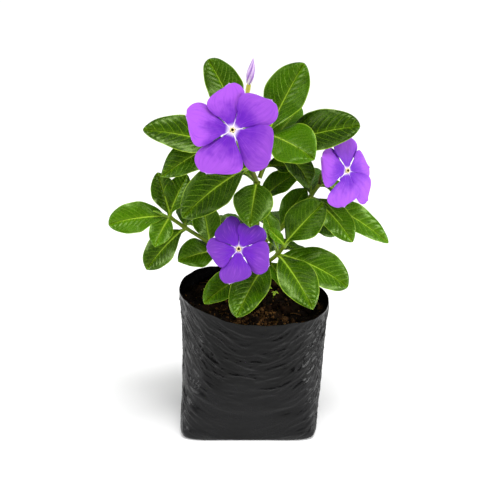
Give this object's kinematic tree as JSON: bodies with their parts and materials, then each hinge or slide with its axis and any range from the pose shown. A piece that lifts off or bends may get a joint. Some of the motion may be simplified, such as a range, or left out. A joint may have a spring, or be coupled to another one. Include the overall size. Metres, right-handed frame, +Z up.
{
  "type": "potted vinca plant",
  "caption": "Young vinca with violet five-petalled flowers and glossy oval leaves, growing in a soil-filled black film nursery bag.",
  "frame": {"origin": "middle of the bag's flat foot, on the surface that it stands on", "axes": "+Z up along the plant, +X to the right as seen from the front, +Y away from the front; the top flower looks towards -Y"},
  "size_m": [0.1525, 0.0968, 0.2128],
  "materials": {
    "film": "semi-gloss wrinkled black polythene film",
    "soil": "damp crumbly dark potting mix",
    "leaf": "glossy green leaf with a pale midrib",
    "petal": "soft satin violet petal, darker towards the middle",
    "flower_tube": "matt yellow-green tube with a cream mouth",
    "bud": "soft lilac with violet spiral streaks"
  },
  "bodies": {
    "root": {"grow_bag": "film", "soil": "soil", "leading_stem": "leaf", "top_right_shoot": "leaf", "left_branch": "leaf", "low_right_shoot": "leaf", "right_branch": "leaf", "low_front_shoot": "leaf", "back_left_shoot": "leaf", "back_right_shoot": "leaf", "top_flower_petals": "petal", "top_flower_tube": "flower_tube", "front_flower_petals": "petal", "front_flower_tube": "flower_tube", "right_flower_petals": "petal", "right_flower_tube": "flower_tube", "bud_tube": "flower_tube", "bud": "bud"}
  },
  "joints": []
}
